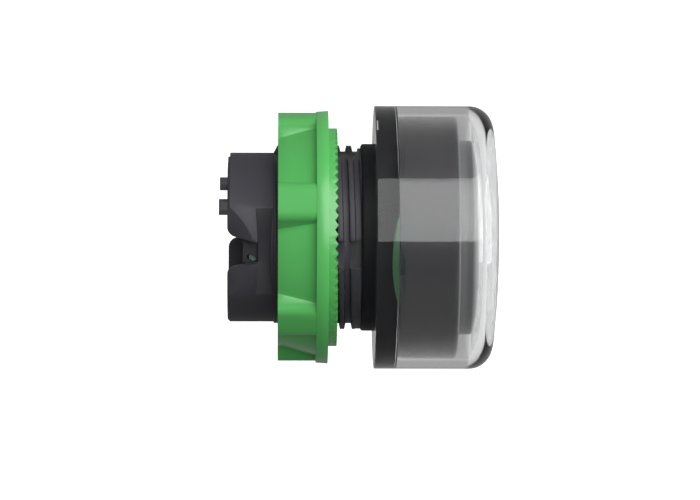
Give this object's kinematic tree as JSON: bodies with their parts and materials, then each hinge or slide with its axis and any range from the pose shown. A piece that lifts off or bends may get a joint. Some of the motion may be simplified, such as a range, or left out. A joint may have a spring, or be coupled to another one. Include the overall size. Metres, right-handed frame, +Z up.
{
  "type": "illuminated push-button head",
  "caption": "Illuminated push-button head for a 22 mm panel hole, with a clear sealing boot over a dark bezel and white lens cap, and a green fixing nut on its barrel.",
  "frame": {"origin": "on the push axis, in the plane of the boot's rear face, where it meets the panel's front", "axes": "+X out of the panel along the push axis towards the finger, +Z up"},
  "size_m": [0.0334, 0.0314, 0.0315],
  "materials": {
    "body_plastic": "fine moulded satin",
    "black_rubber": "smooth rubber",
    "clear_silicone": "clear, glossy, flexible",
    "bezel_plastic": "satin",
    "green_plastic": "satin moulded",
    "white_plastic": "translucent white",
    "cap_plastic": "translucent white",
    "spring_steel": "drawn wire"
  },
  "bodies": {
    "root": {"mounting_body": "body_plastic", "centring_ring": "black_rubber", "sealing_boot": "clear_silicone", "bezel": "bezel_plastic", "bezel_seal": "black_rubber", "lip_seal": "black_rubber", "return_spring": "spring_steel"},
    "plunger": {"lens_holder": "white_plastic", "pusher": "body_plastic", "lens_cap": "cap_plastic", "cap_seal": "black_rubber", "diffuser": "white_plastic", "legend_disc": "cap_plastic"},
    "nut": {"fixing_nut": "green_plastic"}
  },
  "joints": [
    {"name": "press", "type": "slide", "parent": "root", "child": "plunger", "axis": [-1, 0, 0], "range_m": [0, 0.0043], "stiffness_N_per_m": 500, "springref_m": -0.004, "deforming": ["return_spring"]},
    {"name": "nut_turn", "type": "hinge", "parent": "root", "child": "nut", "pos_m": [0, 0, 0], "axis": [1, 0, 0], "continuous": true}
  ]
}
